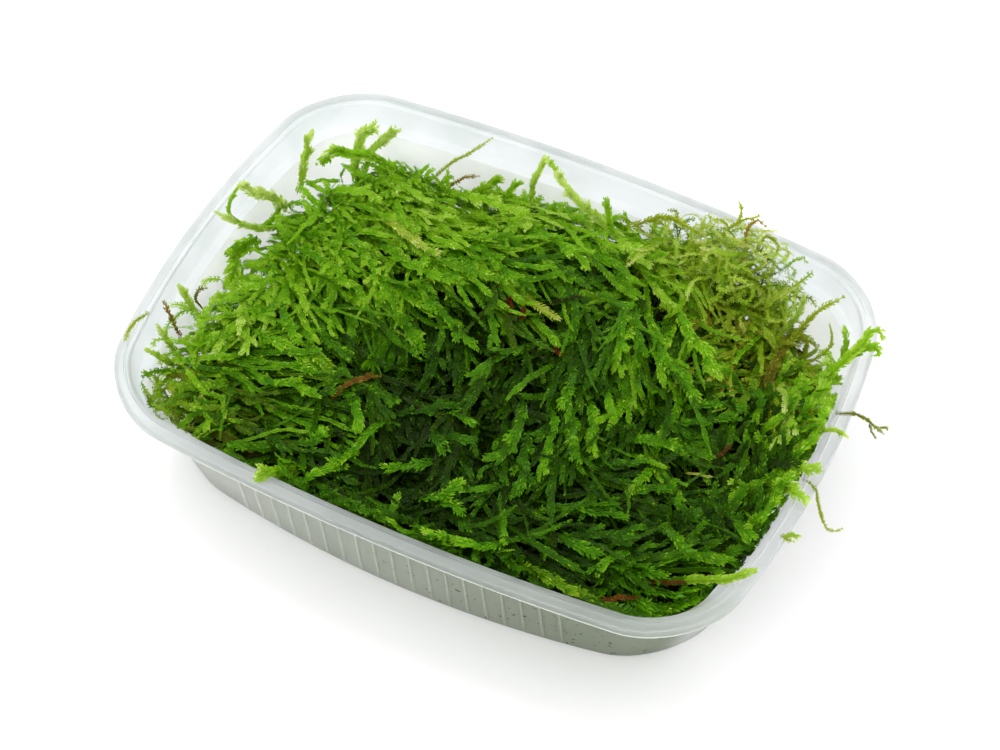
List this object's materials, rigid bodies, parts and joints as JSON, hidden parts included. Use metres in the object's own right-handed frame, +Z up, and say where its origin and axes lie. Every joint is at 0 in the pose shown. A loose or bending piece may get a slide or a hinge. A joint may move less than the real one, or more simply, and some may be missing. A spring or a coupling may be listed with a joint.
{
  "type": "weeping moss in a plastic tub",
  "caption": "A wad of fresh weeping moss lying loose in a shallow, ribbed, see-through plastic food tub without a lid.",
  "frame": {"origin": "middle of the flat base of the tub, on the surface it stands on", "axes": "+X along the tub's long side, +Y towards the back long side, +Z up"},
  "size_m": [0.1885, 0.132, 0.0482],
  "materials": {
    "tub": "translucent moulded polypropylene",
    "fresh_moss": "wet green leafy moss",
    "old_moss": "olive and brown older moss stems"
  },
  "bodies": {
    "root": {"tub": "tub", "wad_back_left": "fresh_moss", "wad_back": "fresh_moss", "wad_back_right": "fresh_moss", "wad_left": "fresh_moss", "wad_middle": "fresh_moss", "wad_hanging_fronds": "fresh_moss", "wad_right": "fresh_moss", "wad_front_left": "fresh_moss", "wad_front": "fresh_moss", "wad_front_right": "fresh_moss", "pointed_shoot_left": "fresh_moss", "pale_shoot_back": "fresh_moss", "bright_shoot_back": "fresh_moss", "arching_shoot": "fresh_moss", "dark_stem": "old_moss", "brown_shoot": "old_moss", "back_tip_left": "fresh_moss", "back_tip_right": "fresh_moss", "forked_shoot_left": "fresh_moss", "forked_shoot_right": "fresh_moss", "back_tip_middle": "fresh_moss", "olive_stem": "old_moss", "tangle_tip": "old_moss", "red_brown_fork": "old_moss", "tangle_loop": "old_moss", "pale_shoot_right": "fresh_moss", "slim_shoot_right": "fresh_moss", "brown_pointed_stem": "old_moss", "curled_shoot": "old_moss", "hooked_shoot": "fresh_moss", "side_hook": "fresh_moss", "short_shoot_right": "fresh_moss", "outer_strand": "old_moss", "pale_strand": "fresh_moss", "rim_tip_upper": "fresh_moss", "rim_tip_lower": "fresh_moss", "hanging_strand": "old_moss", "scrap_on_rim": "old_moss", "shoot_over_rim": "fresh_moss", "strand_on_left_rim": "old_moss", "reddish_tip": "old_moss", "dark_tip": "old_moss", "left_tip": "fresh_moss", "upper_left_shoot": "fresh_moss", "left_loop": "fresh_moss", "left_side_shoot": "fresh_moss", "pale_tip_left": "fresh_moss", "low_tip_left": "fresh_moss", "front_shoot_over_rim": "fresh_moss"}
  },
  "joints": []
}
